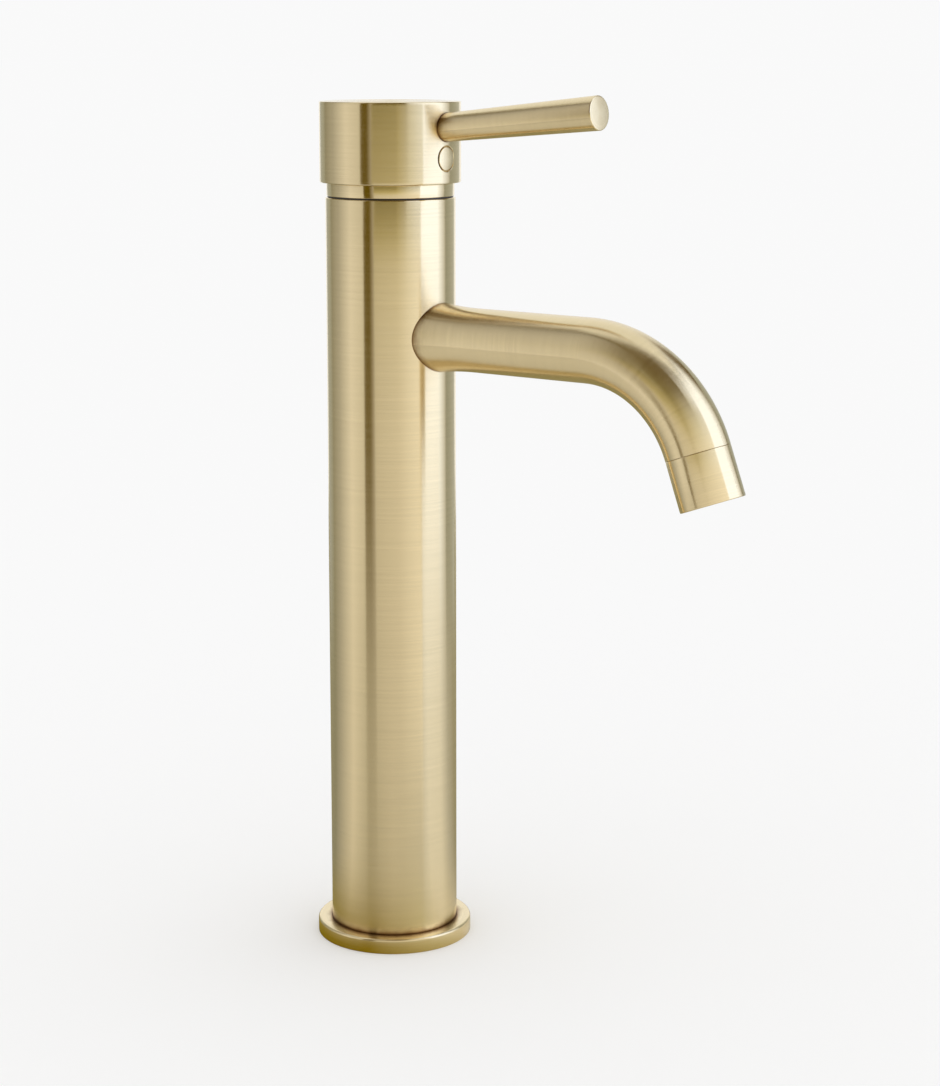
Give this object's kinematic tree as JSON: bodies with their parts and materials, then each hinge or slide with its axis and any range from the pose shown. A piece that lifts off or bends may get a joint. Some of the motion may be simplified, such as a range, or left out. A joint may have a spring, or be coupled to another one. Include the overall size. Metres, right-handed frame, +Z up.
{
  "type": "bathroom mixer faucet",
  "caption": "Tall single-lever basin mixer: round column on a flange, bent tubular spout with aerator, cap handle with pin lever over a ceramic cartridge.",
  "frame": {"origin": "centre of the base on the face that stands on the basin or worktop", "axes": "+Z up along the body's axis, the spout and the lever point along -Y, hot supply on -X"},
  "size_m": [0.055, 0.1684, 0.3],
  "materials": {
    "champagne_brass": "brushed, champagne-gold coated",
    "raw_brass": "machined, uncoated",
    "copper_tube": "drawn tube",
    "stainless_steel": "turned",
    "black_rubber": "moulded seal",
    "black_acetal": "turned slip ring",
    "white_acetal": "moulded cartridge part",
    "grey_plastic": "moulded aerator part",
    "alumina_ceramic": "lapped ceramic disc"
  },
  "bodies": {
    "body": {"base_flange": "champagne_brass", "base_gasket": "black_rubber", "body_shell": "champagne_brass", "base_insert": "raw_brass", "feed_pipe_hot": "copper_tube", "feed_pipe_cold": "copper_tube", "valve_housing": "raw_brass", "slip_ring": "black_acetal", "neck_ring": "champagne_brass", "neck_oring": "black_rubber", "spout_tube": "champagne_brass", "spout_seal": "black_rubber", "aerator_sleeve": "champagne_brass", "aerator_washer": "black_rubber", "aerator_body": "grey_plastic", "aerator_screen": "grey_plastic", "cartridge_base": "white_acetal", "port_seals": "black_rubber", "disc_seals": "black_rubber", "fixed_disc": "alumina_ceramic", "cartridge_shell": "white_acetal", "cartridge_nut": "raw_brass"},
    "turret": {"turret": "white_acetal", "pivot_pin": "stainless_steel"},
    "handle": {"handle_cap": "champagne_brass", "lever_rod": "champagne_brass", "lever_stud": "stainless_steel", "grub_screw": "stainless_steel", "index_plug": "champagne_brass", "stem": "raw_brass"},
    "disc": {"moving_disc": "alumina_ceramic", "disc_carrier": "white_acetal"}
  },
  "joints": [
    {"name": "handle_turn", "type": "hinge", "parent": "body", "child": "turret", "pos_m": [0, 0, 0.262], "axis": [0, 0, 1], "range_deg": [-50, 50]},
    {"name": "handle_lift", "type": "hinge", "parent": "turret", "child": "handle", "pos_m": [0, 0, 0.262], "axis": [-1, 0, 0], "range_deg": [0, 25]},
    {"name": "disc_slide", "type": "slide", "parent": "turret", "child": "disc", "axis": [0, -1, 0], "range_m": [0, 0.004]}
  ],
  "couplings": [
    {"joint": "disc_slide", "follows": "handle_lift", "m_per_rad": 0.0088}
  ]
}
